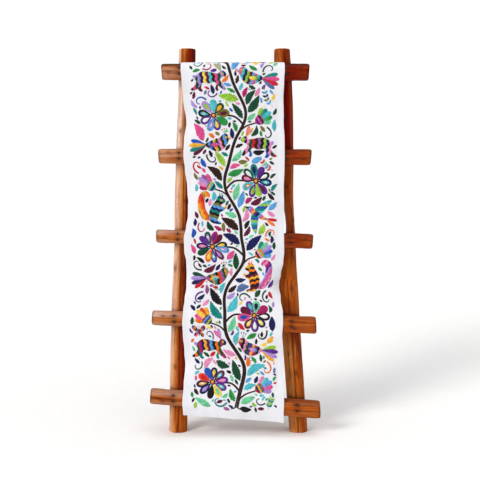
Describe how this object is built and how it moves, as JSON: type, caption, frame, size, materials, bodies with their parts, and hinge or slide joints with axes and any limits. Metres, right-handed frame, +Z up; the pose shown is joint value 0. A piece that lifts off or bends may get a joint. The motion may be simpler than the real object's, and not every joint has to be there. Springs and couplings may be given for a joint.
{
  "type": "embroidered table runner on a wooden ladder",
  "caption": "White cotton table runner with a hemmed edge, hung over the top rung of a rustic nailed pole ladder that leans back on a wall.",
  "frame": {"origin": "on the floor, under the middle of the leaning ladder's plan", "axes": "+Z up, -Y towards the front where the cloth shows, +X to the right as seen from the front"},
  "size_m": [0.6668, 0.3672, 1.4942],
  "materials": {
    "cotton": "plain-weave white cotton, hemmed",
    "wood": "red-brown stained and varnished peeled poles",
    "iron": "dark nail heads"
  },
  "bodies": {
    "root": {"runner": "cotton", "rail_left": "wood", "rail_right": "wood", "rung_1": "wood", "rung_2": "wood", "rung_3": "wood", "rung_4": "wood", "rung_5": "wood", "nail_1a": "iron", "nail_1b": "iron", "nail_1c": "iron", "nail_1d": "iron", "nail_2a": "iron", "nail_2b": "iron", "nail_2c": "iron", "nail_2d": "iron", "nail_3a": "iron", "nail_3b": "iron", "nail_3c": "iron", "nail_3d": "iron", "nail_4a": "iron", "nail_4b": "iron", "nail_4c": "iron", "nail_4d": "iron", "nail_5a": "iron", "nail_5b": "iron", "nail_5c": "iron", "nail_5d": "iron"}
  },
  "joints": []
}
